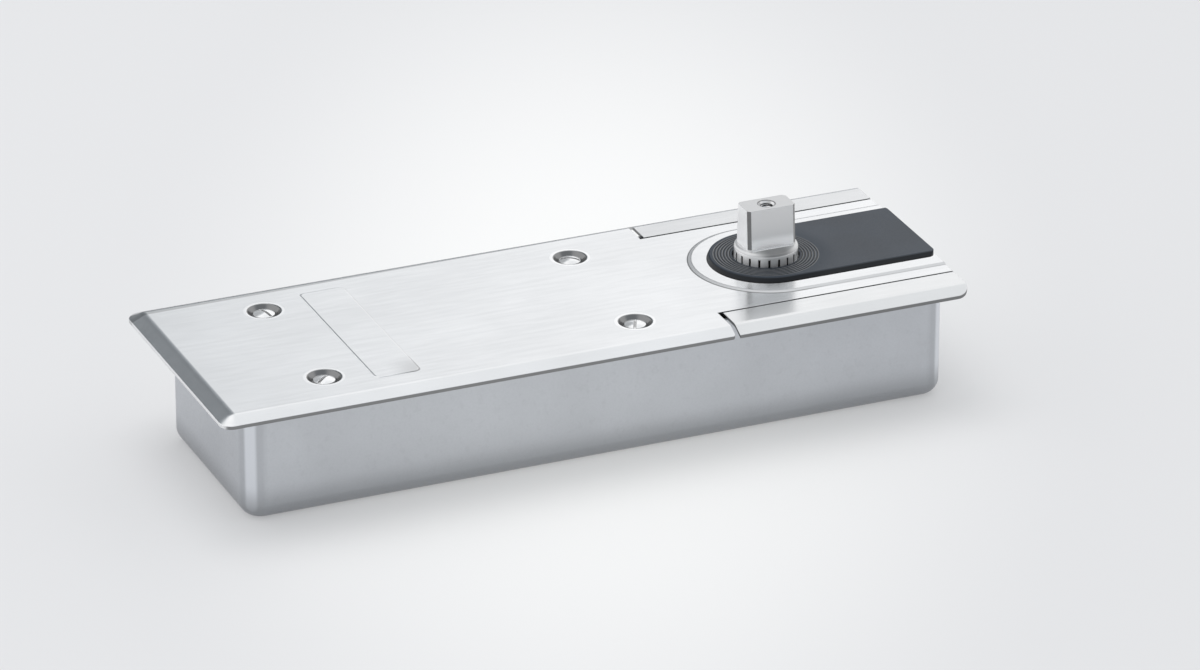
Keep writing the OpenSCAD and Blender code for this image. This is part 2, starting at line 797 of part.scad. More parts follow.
module spindle_shaft() {
  color("silver") translate([spindle_x, 0, 0]) difference() {
    union() {
      translate([0, 0, bearing_low - 0.2]) cylinder(r = stub_radius, h = bearing_height + 0.2);
      translate([0, 0, bearing_high]) cylinder(r = spindle_radius, h = cam_high - bearing_high);
      translate([0, 0, cam_high]) cylinder(r = journal_radius, h = collar_bottom - cam_high - journal_chamfer);
      translate([0, 0, collar_bottom - journal_chamfer])
        cylinder(r1 = journal_radius, r2 = journal_radius - journal_chamfer, h = journal_chamfer);
    }
    translate([spindle_radius - key_size / 2, -key_size / 2, cam_low])
      cube([key_size, key_size, cam_thickness]);
    translate([0, 0, collar_bottom - socket_depth]) hexagon(socket_flat + 0.1, socket_depth + past);
    translate([0, 0, collar_bottom - socket_depth - pilot_depth])
      cylinder(r = pilot_radius + running, h = pilot_depth + past);
    translate([0, 0, snap_z])
      ring(pilot_radius + snap_wire + 0.05, pilot_radius - past, -snap_wire - 0.05, snap_wire + 0.05);
  }
}

module head_chamfers() {
  lean = atan((head_foot_width - head_top_width) / 2 / head_height);
  side = head_chamfer * sqrt(2);
  for (i = [0, 1], j = [0, 1]) mirror([i, 0, 0]) mirror([0, j, 0])
    translate([head_length / 2, head_foot_width / 2, collar_top]) rotate([lean, 0, 0])
      rotate([0, 0, 45]) translate([-side / 2, -side / 2, -past])
        cube([side, side, head_height + 2 * past]);
}

module spindle_head() {
  collar_low = collar_top - collar_rounding;
  color("silver") translate([spindle_x, 0, 0]) difference() {
    union() {
      rotate_extrude() rounded_top_2d(collar_radius, collar_bottom, collar_top, collar_rounding);
      difference() {
        translate([-head_length / 2, 0, collar_top]) rotate([90, 0, 90])
          linear_extrude(height = head_length) polygon([
            [-head_foot_width / 2, -past / 2], [head_foot_width / 2, -past / 2],
            [head_foot_width / 2, 0], [head_top_width / 2, head_height],
            [-head_top_width / 2, head_height], [-head_foot_width / 2, 0]
          ]);
        head_chamfers();
      }
      translate([0, 0, collar_bottom - socket_depth + 0.2]) hexagon(socket_flat, socket_depth);
      translate([0, 0, collar_bottom - socket_depth - pilot_depth + 0.4])
        cylinder(r = pilot_radius, h = pilot_depth + past);
    }
    translate([0, 0, snap_z])
      ring(pilot_radius + past, pilot_radius - snap_wire, -snap_wire - 0.05, snap_wire + 0.05);
    for (k = [0 : notch_count - 1]) rotate([0, 0, k * 360 / notch_count])
      translate([collar_radius - notch_depth, -notch_width / 2, collar_bottom - past])
        cube([notch_depth + past, notch_width, collar_low - 1 - collar_bottom + past]);
    translate([0, 0, head_top - thread_depth]) cylinder(r = thread_core_radius, h = thread_depth + past);
    translate([0, 0, head_top - thread_depth - thread_core_radius / 2])
      cylinder(r1 = 0, r2 = thread_core_radius, h = thread_core_radius / 2 + touch);
    translate([0, 0, head_top - mouth_depth])
      cylinder(r1 = thread_core_radius, r2 = thread_mouth_radius, h = mouth_depth + touch);
  }
}

module head_snap_ring() {
  color("dimgray") translate([spindle_x, 0, snap_z]) difference() {
    torus(pilot_radius, snap_wire);
    translate([0, -1.2, -past]) cube([2 * pilot_radius, 2.4, 2 * past]);
  }
}

// Heart cam: the roller's distance grows evenly with the opening angle to both sides.
function roller_at(a) = roller_distance + cam_rise_per_degree * a;
function flank_point(a, side) =
  let (
    d = roller_at(a),
    n = sqrt(d * d + rise_per_radian * rise_per_radian),
    r = roller_radius + rolling,
    along = d - r * d / n,
    across = -r * rise_per_radian / n,
    t = 180 - a
  ) [along * cos(t) - across * sin(t), side * (along * sin(t) + across * cos(t))];

module cam_outline_2d() {
  upper = [for (a = [0 : flank_step : opening_angle]) flank_point(a, 1)];
  lower = [for (a = [opening_angle : -flank_step : 0]) flank_point(a, -1)];
  nose = [for (k = [1 : 5]) let (t = nose_angle * (1 - k / 3)) nose_radius * [cos(t), sin(t)]];
  difference() {
    polygon(concat([[-rest_low + 1, 0]], upper, nose, lower));
    translate([-roller_distance, 0]) circle(roller_radius + rolling);
    circle(spindle_radius);
    translate([0, -key_size / 2]) square([spindle_radius + key_size / 2, key_size]);
  }
}

module heart_cam() {
  color("dimgray") translate([spindle_x, 0, 0]) {
    translate([0, 0, cam_low]) linear_extrude(height = cam_thickness) cam_outline_2d();
    ring(hub_radius, spindle_radius, bearing_high, cam_low);
  }
}

module cam_key() {
  color("silver") translate([spindle_x + spindle_radius - key_size / 2, -key_size / 2, cam_low])
    cube([key_size, key_size, cam_thickness]);
}

module bearing_outer_ring() {
  color("silver") translate([spindle_x, 0, 0]) difference() {
    ring(bearing_outer, ball_pitch + race_gap, bearing_low, bearing_high);
    translate([0, 0, bearing_mid]) torus(ball_pitch, ball_radius + ball_play);
  }
}

module bearing_inner_ring() {
  color("silver") translate([spindle_x, 0, 0]) difference() {
    ring(ball_pitch - race_gap, stub_radius, bearing_low, bearing_high);
    translate([0, 0, bearing_mid]) torus(ball_pitch, ball_radius + ball_play);
  }
}

module ball_ring(radius) {
  for (k = [0 : ball_count - 1]) translate([spindle_x, 0, bearing_mid])
    rotate([0, 0, k * 360 / ball_count]) translate([ball_pitch, 0, 0]) sphere(r = radius);
}

module bearing_balls() {
  color("silver") ball_ring(ball_radius);
}

module bearing_cage() {
  color("goldenrod") translate([spindle_x, 0, bearing_mid]) difference() {
    ring(ball_pitch + cage_half_wall, ball_pitch - cage_half_wall, -cage_half_height, cage_half_height);
    for (k = [0 : ball_count - 1]) rotate([0, 0, k * 360 / ball_count])
      translate([ball_pitch / 2, 0, 0]) rotate([0, 90, 0])
        cylinder(r = ball_radius + ball_play, h = ball_pitch);
  }
}

// Piston

module fork_side(low, high) {
  translate([piston_front - past, -fork_half_width, axis_height + low])
    cube([fork_tip - piston_front + past, 2 * fork_half_width, high - low]);
}

module piston() {
  color("silver") difference() {
    union() {
      along_x(piston_back) cylinder(r = piston_radius, h = piston_length);
      intersection() {
        along_x(piston_front - 2 * past)
          cylinder(r = piston_radius, h = fork_tip - piston_front + 3 * past);
        union() {
          fork_side(fork_inner, fork_outer);
          fork_side(-fork_outer, -fork_inner);
        }
      }
    }
    along_x(piston_back - past) cylinder(r = pocket_radius, h = pocket_depth + past);
    along_x(spring_face - past) cylinder(r = check_drill, h = check_seat - spring_face + 2 * past);
    along_x(check_seat) cylinder(r1 = check_drill, r2 = check_chamber, h = check_chamber - check_drill);
    along_x(check_seat + check_chamber - check_drill - touch) cylinder(r = check_chamber, h = piston_length);
    along_x(ring_seat) ring(bore_radius + past, piston_radius - ring_wall, 0, ring_length);
    translate([roller_x, 0, 0]) cylinder(r = pin_radius, h = body_top);
    translate([check_pin_x, 0, axis_height]) rotate([90, 0, 0])
      cylinder(r = check_pin_radius, h = 2 * bore_radius, center = true);
  }
}

module piston_ring() {
  color("dimgray") along_x(ring_seat)
    ring(piston_radius, piston_radius - ring_wall, 0.05, ring_length - 0.05);
}

module cam_roller() {
  color("silver") translate([roller_x, 0, 0])
    ring(roller_radius, pin_radius + running, axis_height - fork_inner + roller_gap,
      axis_height + fork_inner - roller_gap);
}

module roller_pin() {
  color("silver") translate([roller_x, 0, axis_height - fork_outer + 0.2])
    cylinder(r = pin_radius, h = 2 * fork_outer - 0.4);
}

module check_ball() {
  color("silver") translate([check_ball_x, 0, axis_height]) sphere(r = check_ball_radius);
}

module check_pin() {
  color("silver") translate([check_pin_x, 0, axis_height]) rotate([90, 0, 0])
    cylinder(r = check_pin_radius, h = 2 * check_pin_half, center = true);
}

// Closing spring: one unbroken round wire with closed end turns.

function spring_rise(t) =
  t < closed_turns ? t * closed_pitch
  : t > spring_turns - closed_turns
  ? closed_rise + open_rise + (t - spring_turns + closed_turns) * closed_pitch
  : closed_rise + (t - closed_turns) / open_turns * open_rise;

function wire_centre(i) =
  let (turn = 360 * i / rings_per_turn)
  [
    spring_low + spring_rise(i / rings_per_turn),
    spring_radius * cos(turn),
    axis_height + spring_radius * sin(turn)
  ];

function wire_point(i, j) =
  let (turn = 360 * i / rings_per_turn, around = 360 * j / wire_sides, out = spring_wire * cos(around))
  wire_centre(i) + [spring_wire * sin(around), out * cos(turn), out * sin(turn)];

least_gap = min([
  for (i = [0 : spring_steps - rings_per_turn], j = [i + rings_per_turn - 2 : spring_steps])
    norm(wire_centre(j) - wire_centre(i)) - 2 * spring_wire
]);
echo(closing_spring_least_gap = least_gap);

module closing_spring() {
  points = [for (i = [0 : spring_steps], j = [0 : wire_sides - 1]) wire_point(i, j)];
  sides = [for (i = [0 : spring_steps - 1], j = [0 : wire_sides - 1])
    let (a = i * wire_sides + j, b = i * wire_sides + (j + 1) % wire_sides)
    [a, b, b + wire_sides, a + wire_sides]];
  first = [[for (j = [wire_sides - 1 : -1 : 0]) j]];
  last = [[for (j = [0 : wire_sides - 1]) spring_steps * wire_sides + j]];
  color("silver") polyhedron(points, concat(sides, first, last));
}

module spring_seat() {
  color("silver") {
    along_x(cap_face) cylinder(r = bore_radius - rolling, h = seat_thickness);
    along_x(spring_start - touch) cylinder(r = seat_boss_radius, h = seat_boss);
  }
}

module end_cap() {
  color("silver") difference() {
    along_x(body_left) cylinder(r = cap_radius, h = cap_length);
    along_x(cap_face - cap_seal_setback) ring(
      cap_radius + past, cap_radius - 2 * cap_seal_wire - groove_play,
      -cap_seal_wire - groove_play, cap_seal_wire + groove_play
    );
    along_x(body_left - past) hexagon(cap_socket, cap_socket_depth + past);
  }
}

module end_cap_seal() {
  color("dimgray") along_x(cap_face - cap_seal_setback)
    torus(cap_radius - cap_seal_wire - seal_play, cap_seal_wire);
}

// Valves and plugs

module valve_screw() {
  groove_low = valve_shoulder + 1.2;
  difference() {
    union() {
      translate([0, 0, valve_shoulder + 0.4])
        cylinder(r = valve_head_radius - running, h = valve_top - valve_shoulder - 0.4);
      translate([0, 0, gallery_z])
        cylinder(r = valve_stem_radius - running, h = valve_shoulder - gallery_z + past);
      translate([0, 0, gallery_z - 2.2]) cylinder(r1 = 0.5, r2 = valve_stem_radius - running, h = 2.2);
    }
    ring(valve_head_radius + past, valve_head_radius - valve_groove, groove_low, groove_low + valve_groove);
    translate([0, 0, valve_top]) cube([3 * valve_head_radius, 1, 2.4], center = true);
  }
}

module closing_speed_valve() {
  color("goldenrod") translate([valve_position, gallery_offset, 0]) valve_screw();
}

module latching_speed_valve() {
  color("goldenrod") translate([valve_position, -gallery_offset, 0]) valve_screw();
}

module valve_seals() {
  color("dimgray") for (s = [-1, 1])
    translate([valve_position, s * gallery_offset, valve_shoulder + 1.2 + valve_groove / 2])
      torus(valve_head_radius - running - valve_seal_wire, valve_seal_wire);
}

module gallery_plugs() {
  color("silver") for (i = [0, 1]) mirror([0, i, 0]) {
    translate([body_left, gallery_offset, gallery_z]) rotate([0, 90, 0])
      cylinder(r = plug_radius, h = plug_length);
    translate([port_xs[i], body_half_width, gallery_z]) rotate([90, 0, 0])
      cylinder(r = plug_radius, h = plug_length - 0.5);
  }
}

module fill_plug() {
  color("silver") translate([fill_x, 0, 0]) difference() {
    translate([0, 0, axis_height + bore_radius + 0.3])
      cylinder(r = plug_radius, h = body_half_height - bore_radius - 0.6);
    translate([0, 0, body_top - 2]) hexagon(2.5, 3);
  }
}

// Fixings in the box

module levelling_screws() {
  color("silver") for (x = ear_xs, s = [-1, 1]) translate([x, s * ear_y, 0]) difference() {
    translate([0, 0, box_sheet]) cylinder(r = stud_radius, h = ear_top + 2 - box_sheet);
    translate([0, 0, ear_top + 2]) cube([3 * stud_radius, 1, 3], center = true);
  }
}

module fixing_screws() {
  head_low = lug_high + washer_thickness;
  color("silver") for (x = lug_centres) translate([x, 0, 0]) {
    translate([0, 0, box_sheet + 0.5]) cylinder(r = stud_radius, h = head_low - box_sheet - 0.5);
    translate([0, 0, head_low]) hexagon(hex_head_flats, hex_head_height);
  }
}

module fixing_washers() {
  color("silver") for (x = lug_centres) translate([x, 0, 0])
    ring(washer_radius, stud_radius + 0.2, lug_high, lug_high + washer_thickness);
}

module weld_nuts() {
  color("silver") for (x = lug_centres) translate([x, 0, 0]) difference() {
    translate([0, 0, box_sheet]) cylinder(r = nut_radius, h = nut_height, $fn = 6);
    cylinder(r = stud_radius, h = box_sheet + nut_height + past);
  }
}

cement_box();
cover_plate();
front_edge_strip();
rear_edge_strip();
strip_brackets();
cover_pillars();
cover_screws();
spindle_cover();
closer_body();
bearing_lid();
bearing_lid_screws();
bearing_lid_seal();
upper_bushing();
spindle_seal();
spindle_shaft();
spindle_head();
head_snap_ring();
heart_cam();
cam_key();
bearing_outer_ring();
bearing_inner_ring();
bearing_balls();
bearing_cage();
piston();
piston_ring();
cam_roller();
roller_pin();
check_ball();
check_pin();
closing_spring();
spring_seat();
end_cap();
end_cap_seal();
closing_speed_valve();
latching_speed_valve();
valve_seals();
gallery_plugs();
fill_plug();
levelling_screws();
fixing_screws();
fixing_washers();
weld_nuts();
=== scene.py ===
"""Looks of the floor spring: materials, detail pieces, floor, light, camera. Metres, in the CAD's frame."""

import json
import math

import bmesh
import bpy
from mathutils import Matrix, Vector


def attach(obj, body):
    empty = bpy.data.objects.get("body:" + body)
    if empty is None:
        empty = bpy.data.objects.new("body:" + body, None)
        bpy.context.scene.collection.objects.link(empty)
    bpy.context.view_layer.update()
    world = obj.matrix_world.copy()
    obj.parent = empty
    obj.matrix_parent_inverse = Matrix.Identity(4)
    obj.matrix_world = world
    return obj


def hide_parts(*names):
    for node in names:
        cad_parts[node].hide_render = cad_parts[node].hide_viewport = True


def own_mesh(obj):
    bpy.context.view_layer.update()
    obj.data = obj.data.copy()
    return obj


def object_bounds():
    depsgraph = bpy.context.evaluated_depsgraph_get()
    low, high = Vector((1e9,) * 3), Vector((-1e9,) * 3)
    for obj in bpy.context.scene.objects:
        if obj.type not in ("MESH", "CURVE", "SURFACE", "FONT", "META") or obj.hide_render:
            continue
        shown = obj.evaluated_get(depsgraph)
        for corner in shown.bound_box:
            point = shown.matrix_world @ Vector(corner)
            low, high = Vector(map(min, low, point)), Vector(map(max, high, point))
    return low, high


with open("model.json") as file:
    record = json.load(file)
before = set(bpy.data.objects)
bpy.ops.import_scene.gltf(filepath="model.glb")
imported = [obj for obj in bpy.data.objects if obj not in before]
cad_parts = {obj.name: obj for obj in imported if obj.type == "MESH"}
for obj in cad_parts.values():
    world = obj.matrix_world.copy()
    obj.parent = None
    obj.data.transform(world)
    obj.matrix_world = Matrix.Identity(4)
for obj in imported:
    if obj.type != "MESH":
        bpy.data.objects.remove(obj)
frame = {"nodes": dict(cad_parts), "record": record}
cad_low, cad_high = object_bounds()
nodes = frame["nodes"]
scene = bpy.context.scene
MM = 0.001


# Camera

FOCAL_PX, FRAME_WIDTH_PX, SENSOR_MM = 7018.2, 1200, 36.0
AZIMUTH, ELEVATION, ROLL = math.radians(-23.09), math.radians(24.94), math.radians(0.05)
TARGET = Vector((0.0009, 0.0, 0.0269))
OFFSET = Vector((-0.01939, -0.00862, -2.83471))


def camera_rotation():
    back = Vector((
        math.sin(AZIMUTH) * math.cos(ELEVATION),
        -math.cos(AZIMUTH) * math.cos(ELEVATION),
        math.sin(ELEVATION),
    ))
    right = Vector((math.cos(AZIMUTH), math.sin(AZIMUTH), 0.0))
    up = back.cross(right)
    c, s = math.cos(ROLL), math.sin(ROLL)
    return Matrix((c * right + s * up, c * up - s * right, back)).transposed()


def make_camera():
    data = bpy.data.cameras.new("camera")
    data.sensor_width = SENSOR_MM
    data.lens = FOCAL_PX * SENSOR_MM / FRAME_WIDTH_PX
    camera = bpy.data.objects.new("camera", data)
    scene.collection.objects.link(camera)
    turn = camera_rotation()
    camera.matrix_world = Matrix.Translation(TARGET - turn @ OFFSET) @ turn.to_4x4()
    scene.camera = camera


def floor_middle():
    """The floor's point in the middle of the view."""
    turn = camera_rotation()
    start = TARGET - turn @ OFFSET
    way = turn @ Vector((0.0, 0.0, -1.0))
    return start - way * (start.z / way.z)


make_camera()
scene.view_settings.view_transform = "Standard"


# Shader helpers

X, Y, Z = (1, 0, 0), (0, 1, 0), (0, 0, 1)
WHITE, BLACK = (1, 1, 1, 1), (0, 0, 0, 1)
ROOT_TWO = 1.414
BUMP_DEPTH = 0.0002
# the middle part of a noise, in which its clouds lie
CLOUDS = (0.3, 0.7)


class Graph:
    """Short ways to build one node tree."""

    def __init__(self, tree):
        self.tree = tree

    def add(self, kind, values=None, **settings):
        made = self.tree.nodes.new(kind)
        for key, value in settings.items():
            setattr(made, key, value)
        for key, value in (values or {}).items():
            self.put(made.inputs[key], value)
        return made

    def put(self, socket, value):
        if isinstance(value, bpy.types.NodeSocket):
            self.tree.links.new(value, socket)
        else:
            socket.default_value = value

    def place(self):
        return self.add("ShaderNodeTexCoord").outputs["Object"]

    def noise(self, scale, stretch=(1, 1, 1), detail=3.0, rough=0.5):
        mapped = self.add("ShaderNodeMapping", {"Vector": self.place(), "Scale": stretch})
        made = self.add(
            "ShaderNodeTexNoise",
            {"Vector": mapped.outputs[0], "Scale": scale, "Detail": detail, "Roughness": rough},
        )
        return made.outputs["Fac"] if "Fac" in made.outputs else made.outputs[0]

    def ramp(self, value, low, high, to_low=0.0, to_high=1.0):
        made = self.add(
            "ShaderNodeMapRange",
            {"Value": value, "From Min": low, "From Max": high, "To Min": to_low, "To Max": to_high},
            interpolation_type="SMOOTHSTEP",
        )
        return made.outputs["Result"]

    def math(self, kind, a, b=0.0):
        return self.add("ShaderNodeMath", {0: a, 1: b}, operation=kind).outputs[0]

    def length(self, a, b):
        return self.math("SQRT", self.math("ADD", self.times(a, a), self.times(b, b)))

    def dot(self, a, b):
        return self.add("ShaderNodeVectorMath", {0: a, 1: b}, operation="DOT_PRODUCT").outputs["Value"]

    def mix(self, share, a, b):
        made = self.tree.nodes.new("ShaderNodeMix")
        made.data_type = "RGBA"
        self.put(made.inputs[0], share)
        self.put(made.inputs[6], a)
        self.put(made.inputs[7], b)
        return made.outputs[2]

    def edge(self, radius):
        """1 on sharp edges, 0 on open faces, and the rounded normal that goes with it."""
        bevel = self.add("ShaderNodeBevel", {"Radius": radius}, samples=6)
        flat = self.add("ShaderNodeNewGeometry").outputs["Normal"]
        return self.ramp(self.dot(bevel.outputs[0], flat), 0.99, 0.80), bevel.outputs[0]

    def crevice(self, reach):
        """1 deep in a hole or slot, 0 on open faces."""
        made = self.add("ShaderNodeAmbientOcclusion", {"Distance": reach}, samples=8, only_local=True)
        return self.ramp(made.outputs["AO"], 0.9, 0.35)

    def normal(self, kind="Normal"):
        return self.add("ShaderNodeNewGeometry").outputs[kind]

    def coordinate(self, way):
        """How far along a direction a point lies, in the piece's own frame."""
        return self.dot(self.place(), way)

    def absolute(self, a):
        return self.math("ABSOLUTE", a)

    def minus(self, a, b):
        return self.math("SUBTRACT", a, b)

    def times(self, a, b):
        return self.math("MULTIPLY", a, b)

    def diagonal(self, normal):
        """1 where a face looks halfway between X and Y, 0 where it looks along either."""
        across, along = self.dot(normal, (ROOT_TWO, 0, 0)), self.dot(normal, (0, ROOT_TWO, 0))
        return self.absolute(self.times(across, along))

    def relief(self, height, strength, rounded):
        """The normal of a fine bump on top of the rounded one."""
        made = self.add("ShaderNodeBump", {
            "Strength": strength, "Distance": BUMP_DEPTH, "Height": height, "Normal": rounded,
        })
        return made.outputs[0]


def shade(colour, gain):
    """A colour times a gain, held at white, with full alpha."""
    return tuple(min(1.0, c * gain) for c in colour) + (1.0,)


def new_material(name):
    made = bpy.data.materials.new(name)
    made.use_nodes = True
    tree = made.node_tree
    shader = next(n for n in tree.nodes if n.type == "BSDF_PRINCIPLED")
    return made, Graph(tree), shader


# millimetres: the spindle's axis, the top of its head and the mouth of its threaded hole
AXIS_X, HEAD_TOP, MOUTH_RADIUS = 95.3, 78.1, 3.6
# millimetres: the insert's top and its ring grooves
INSERT_TOP, RING_FIRST, RING_PITCH = 55.7, 14.9, 1.25
# millimetres on the cover: middle and spacing of the screw dimples, and how far out they lie
SCREW_MIDDLE, SCREW_PITCH, SCREW_Y = cad_low[0] * 1000 + 50.8 + 66.5, 133.0, 33.6
# millimetres on the cover: the bare label place
LABEL_X, LABEL_HALF, LABEL_CORNER = cad_low[0] * 1000 + 78.6, (9.7, 43.1), 2.6
# millimetres: start of the raised field's straight part, and its two lines of painted shade with their tone
FIELD_X, FIELD_LINES = 95.9, ((32.5, 0.35), (31.0, 0.70))
# metres: where the painted shade along the cover's far edge begins, over what width, and how that band
# tapers along the cover
FAR_EDGE, FAR_WIDTH, FAR_TAPER = 0.0500, 0.0008, 0.0126
# metres from a dimple's middle: its rim with a painted highlight and its wall with painted shade
DIMPLE_RIM, DIMPLE_WALL = (0.0086, 0.0080), (0.0073, 0.0068)
# metres from the field's middle line: both sides of its wall, and the half width of its lines, all painted
# shade
FIELD_INNER, FIELD_OUTER, LINE_HALF = (0.0309, 0.0312), (0.0327, 0.0325), (0.0004, 0.0001)
# metres along the cover: where the field's painted shade lines turn softer
FIELD_SOFT = (0.0959, 0.1100)
# millimetres inside the label's outline: where its shade is full, and its rim's middle
LABEL_SHADE, LABEL_RIM_IN = 0.4, 0.2
# metres: the label's corner that catches the light, and the half width of its rim
LABEL_NEAR_Y, LABEL_NEAR_X, LABEL_RIM = (-0.026, -0.040), (-0.004, 0.008), (0.00042, 0.00016)
# tilt of a cover face, 1 level and 0 upright: less than level, more than upright, and upright
BELOW_LEVEL, ABOVE_UPRIGHT, UPRIGHT = (0.75, 0.60), (0.05, 0.15), (0.15, 0.05)
# metres: the cover's left end, where the faces that look along it stay bright; and what isn't such a face
LEFT_END, NOT_END_ON = (cad_low[0] + 0.004, cad_low[0] + 0.006), (0.85, 0.6)
# share of a normal along a direction: a face that looks that way, a level face and a rising one
FACING, LEVEL, RISING = (0.85, 0.95), (0.9, 0.97), (0.1, 0.3)
# how diagonal a face is: the box corners' flanks with painted shade and their line with a painted
# highlight, and the head's chamfers with painted shade
CORNER_FLANK, CORNER_LINE, CHAMFER = (0.05, 0.5), (0.75, 0.95), (0.25, 0.7)
# metres above the floor: the painted shade along the box's foot
BOX_FOOT = (0.016, 0.004)
# metres above the floor: where the head's block begins, its foot with a painted highlight and its front
# with painted shade
BLOCK_START, BLOCK_FOOT, BLOCK_FRONT = (0.0612, 0.0618), (0.074, 0.0615), (0.0640, 0.0670)
# metres above the floor: the collar's shoulder and what lies below it
SHOULDER, BELOW = (0.0613, 0.0610), (0.0598, 0.0594)
# metres above the floor: the threaded hole's inside and its mouth, both with painted shade
HOLE_HEIGHT, MOUTH_HEIGHT = (0.0773, 0.0771), (0.077, 0.0775)
# metres from the axis along the cover: the shoulder's ends, painted less dark, and the collar's middle with
# painted shade
SHOULDER_ENDS, COLLAR_MIDDLE = (0.003, 0.011), (0.0095, 0.0035)
# metres from the axis: the collar's notches and the hole, both with painted shade; and the half width of
# its mouth's line of painted shade
NOTCH_REACH, HOLE_REACH, MOUTH_HALF = (0.0129, 0.0126), (0.0027, 0.0026), (0.00035, 0.0001)
# metres below the insert's top: its flank with painted shade and its foot painted black as shade
FLANK_DEPTH, FOOT_DEPTH = (0.00005, 0.0003), (0.0013, 0.0020)
# metres from the axis: the inner and outer end of the rings, and where the gloss comes back
RINGS_INNER, RINGS_OUTER, GLOSS_REACH = (0.01440, 0.01445), (0.02175, 0.02170), (0.0215, 0.0310)
# metres from a groove's middle: both sides of its lip with a painted highlight, and the groove with painted
# shade
LIP_INNER, LIP_OUTER, GROOVE_HALF = (0.00016, 0.00024), (0.00060, 0.00052), (0.00032, 0.00018)


def metal(name, colour, rough, swing=0.05, cloud=(25, 0.05), grain=(900, (1, 1, 1), 0.04, 0.12),
          edge=(0.0002, 1.12), spot=None, streak=None, crevice_shade=None, metallic=1.0, paint=None):
    """Bare or plated metal with cloudy tone, grain, edges lightened by wear and a painted highlight, and
    painted shade in crevices.

    cloud is scale and depth. grain is scale, stretch, bump and stain. edge is radius and gain.
    spot is scale and depth. streak is scale, stretch and depth. The painted shade in crevices takes a reach
    and a gain.
    """
    made, g, shader = new_material(name)
    grain_scale, grain_way, bump, stain = grain
    tone = g.noise(cloud[0], detail=4)
    fine = g.noise(grain_scale, grain_way, detail=4, rough=0.6)
    base = g.mix(g.ramp(tone, *CLOUDS), shade(colour, 1 - cloud[1]), shade(colour, 1 + cloud[1]))
    base = g.mix(g.ramp(fine, 0.35, 0.7, 0.0, stain), base, shade(colour, 0.7))
    if streak:
        scale, way, depth = streak
        lines = g.noise(scale, way, detail=3)
        base = g.mix(g.ramp(lines, 0.45, 0.75, 0.0, depth), base, shade(colour, 0.75))
    if spot:
        scale, depth = spot
        flecks = g.noise(scale, detail=2)
        base = g.mix(g.ramp(flecks, 0.55, 0.75, 0.0, depth), base, shade(colour, 0.6))
    radius, gain = edge
    # painted highlight: sharp edges are lightened, partly as wear and partly as the light they catch
    wear_and_highlight, rounded = g.edge(radius)
    base = g.mix(wear_and_highlight, base, shade(colour, gain))
    dull = g.ramp(fine, 0.25, 0.75, rough - swing, rough + swing)
    # painted shade: crevices, holes and slots are darkened where shade falls
    if crevice_shade:
        reach, gain = crevice_shade
        base = g.mix(g.crevice(reach), base, shade(colour, gain))
    if paint:
        base, dull = paint(g, base, dull, colour)
    g.put(shader.inputs["Base Color"], base)
    shader.inputs["Metallic"].default_value = metallic
    g.put(shader.inputs["Roughness"], dull)
    g.put(shader.inputs["Normal"], g.relief(fine, bump, rounded))
    return made


def spindle_reach(g):
    """Distance from the spindle's axis."""
    return g.length(g.minus(g.coordinate(X), AXIS_X * MM), g.coordinate(Y))


def paint_flanks(g, base, colour):
    """Painted shade on the sloping flanks and along the far border, and dark cut edges; also gives where
    the cut edges are.
    """
    flat = g.normal("True Normal")
    tilt = g.absolute(g.dot(flat, Z))
    x, y = g.coordinate(X), g.coordinate(Y)
    side_on = g.ramp(g.absolute(g.dot(flat, X)), *NOT_END_ON)
    side_on = g.math("MAXIMUM", side_on, g.ramp(x, *LEFT_END))
    slope_shade = g.times(g.ramp(tilt, *BELOW_LEVEL), g.ramp(tilt, *ABOVE_UPRIGHT))
    sheared = g.times(g.ramp(tilt, *UPRIGHT), side_on)
    # painted shade on the cover's sloping faces
    base = g.mix(g.times(slope_shade, side_on), base, shade(colour, 0.85))
    base = g.mix(sheared, base, shade(colour, 0.28))
    far = g.minus(y, g.times(x, FAR_TAPER))
    # painted shade along the far border
    return g.mix(g.ramp(far, FAR_EDGE, FAR_EDGE + FAR_WIDTH), base, shade(colour, 0.66)), sheared


def paint_dimples(g, base, colour):
    """A painted highlight on the rim and painted shade on the wall round each cover screw."""
    beside = g.minus(g.absolute(g.minus(g.coordinate(X), SCREW_MIDDLE * MM)), SCREW_PITCH / 2 * MM)
    reach = g.length(beside, g.minus(g.absolute(g.coordinate(Y)), SCREW_Y * MM))
    # painted highlight on the rim, then painted shade on the wall
    base = g.mix(g.ramp(reach, *DIMPLE_RIM), base, shade(colour, 1.14))
    return g.mix(g.ramp(reach, *DIMPLE_WALL), base, shade(colour, 0.28))


def paint_field(g, base, colour):
    """Painted shade on the raised field's wall and in two dark lines along it; also gives where the wall
    is.
    """
    x = g.coordinate(X)
    reach = g.length(g.math("MINIMUM", g.minus(x, FIELD_X * MM), 0.0), g.coordinate(Y))
    wall = g.times(g.ramp(reach, *FIELD_INNER), g.ramp(reach, *FIELD_OUTER))
    base = g.mix(wall, base, shade(colour, 0.84))
    crisp = g.ramp(x, *FIELD_SOFT, 1.0, 0.35)
    for line, dark in FIELD_LINES:
        off = g.absolute(g.minus(reach, line * MM))
        base = g.mix(g.times(g.ramp(off, *LINE_HALF), crisp), base, shade(colour, dark))
    return base, wall


